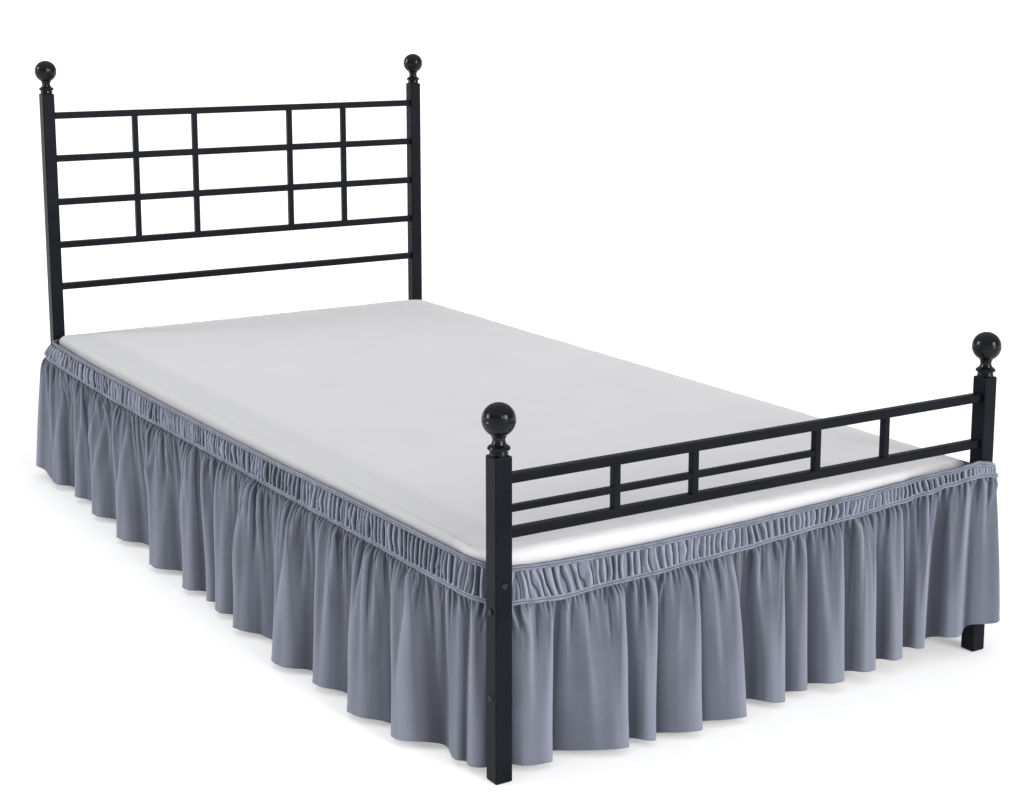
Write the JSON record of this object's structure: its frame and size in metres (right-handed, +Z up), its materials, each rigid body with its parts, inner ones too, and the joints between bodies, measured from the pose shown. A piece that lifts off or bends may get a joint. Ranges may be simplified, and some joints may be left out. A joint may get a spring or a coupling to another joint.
{
  "type": "bed skirt on a metal bed frame with its mattress",
  "caption": "Gathered wrap-around bed skirt with a puckered heading between stitched tapes, on a low metal bed with ball finials and a thin mattress.",
  "frame": {"origin": "centre of the whole object's outline, on the floor", "axes": "+X to the right as seen from the foot, +Y from foot to head, +Z up"},
  "size_m": [1.142, 2.053, 0.9645],
  "materials": {
    "skirt_cloth": "soft brushed microfibre, slate grey",
    "skirt_tape": "stitched elastic tape, slate grey",
    "mattress_cloth": "smooth matt white knit",
    "frame_black": "satin black powder coat",
    "finial_gloss": "gloss black",
    "slat_wood": "plain planed softwood",
    "bolt_black": "black oxide"
  },
  "bodies": {
    "root": {"heading": "skirt_cloth", "drop_left": "skirt_cloth", "drop_foot_right": "skirt_cloth", "drop_head": "skirt_cloth", "top_tape": "skirt_tape", "lower_tape": "skirt_tape", "mattress": "mattress_cloth", "post_foot_left": "frame_black", "finial_foot_left": "finial_gloss", "post_foot_right": "frame_black", "finial_foot_right": "finial_gloss", "post_head_left": "frame_black", "finial_head_left": "finial_gloss", "post_head_right": "frame_black", "finial_head_right": "finial_gloss", "head_panel": "frame_black", "head_low_rail": "frame_black", "foot_panel": "frame_black", "side_rail_left": "frame_black", "side_rail_right": "frame_black", "end_rail_foot": "frame_black", "end_rail_head": "frame_black", "bracket_foot_left": "frame_black", "bracket_foot_right": "frame_black", "bracket_head_left": "frame_black", "bracket_head_right": "frame_black", "slat_1": "slat_wood", "slat_2": "slat_wood", "slat_3": "slat_wood", "slat_4": "slat_wood", "slat_5": "slat_wood", "slat_6": "slat_wood", "bolt_foot_left_low": "bolt_black", "bolt_foot_left_high": "bolt_black", "bolt_foot_right_low": "bolt_black", "bolt_foot_right_high": "bolt_black", "bolt_head_left_low": "bolt_black", "bolt_head_left_high": "bolt_black", "bolt_head_right_low": "bolt_black", "bolt_head_right_high": "bolt_black", "bolt_front_left": "bolt_black", "bolt_front_right": "bolt_black"}
  },
  "joints": []
}
